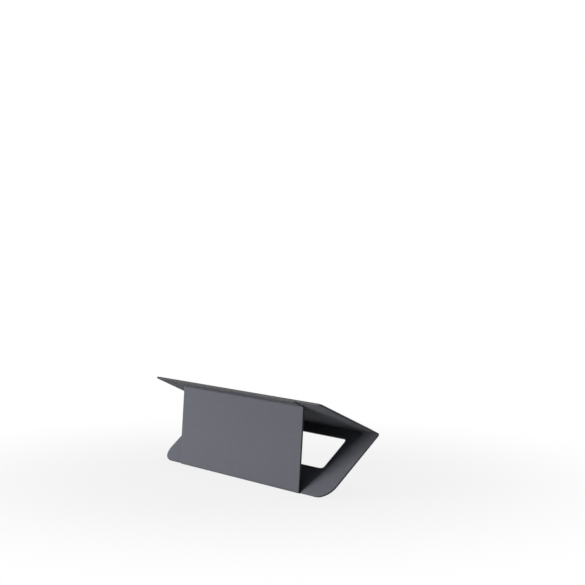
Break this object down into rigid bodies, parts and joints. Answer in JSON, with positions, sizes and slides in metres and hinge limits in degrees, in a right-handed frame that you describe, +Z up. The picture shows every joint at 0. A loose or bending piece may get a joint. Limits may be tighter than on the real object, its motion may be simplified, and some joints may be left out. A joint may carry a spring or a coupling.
{
  "type": "adhesive laptop stand",
  "caption": "Flat leather-covered stand that sticks under a laptop and folds out into an open triangular prop with a back panel and a windowed front leg.",
  "frame": {"origin": "centre of the sticky face on top of the plate", "axes": "+X along the fold lines, +Y to the front of the machine it carries, so the back panel faces -Y, and +Z up when the stand is open on a desk; the sticky face leans 25 degrees to the front"},
  "size_m": [0.228, 0.0594, 0.0732],
  "materials": {
    "leather": "matte fine-grain grey imitation leather with dark cut edges",
    "adhesive": "thin tacky washable sheet"
  },
  "bodies": {
    "plate": {"adhesive_plate": "leather", "adhesive_pad": "adhesive", "front_fold": "leather", "rear_fold": "leather"},
    "leg": {"leg_frame": "leather", "left_knee_fold": "leather", "right_knee_fold": "leather"},
    "bar": {"foot_bar": "leather"},
    "back": {"back_panel": "leather", "foot_fold": "leather"}
  },
  "joints": [
    {"name": "frame_fold", "type": "hinge", "parent": "plate", "child": "leg", "pos_m": [0, 0.02843, -0.01557], "axis": [1, 0, 0], "range_deg": [0, 114.67], "deforming": ["front_fold"]},
    {"name": "knee_fold", "type": "hinge", "parent": "leg", "child": "bar", "pos_m": [0, -0.0021, -0.0415], "axis": [1, 0, 0], "range_deg": [-180, 0], "deforming": ["left_knee_fold", "right_knee_fold"]},
    {"name": "back_fold", "type": "hinge", "parent": "plate", "child": "back", "pos_m": [0, -0.01824, 0.00619], "axis": [1, 0, 0], "range_deg": [0, 68.61], "deforming": ["rear_fold", "foot_fold"]}
  ],
  "couplings": [
    {"joint": "knee_fold", "follows": "frame_fold", "ratio": -1.5698},
    {"joint": "back_fold", "follows": "frame_fold", "ratio": 0.59835}
  ]
}
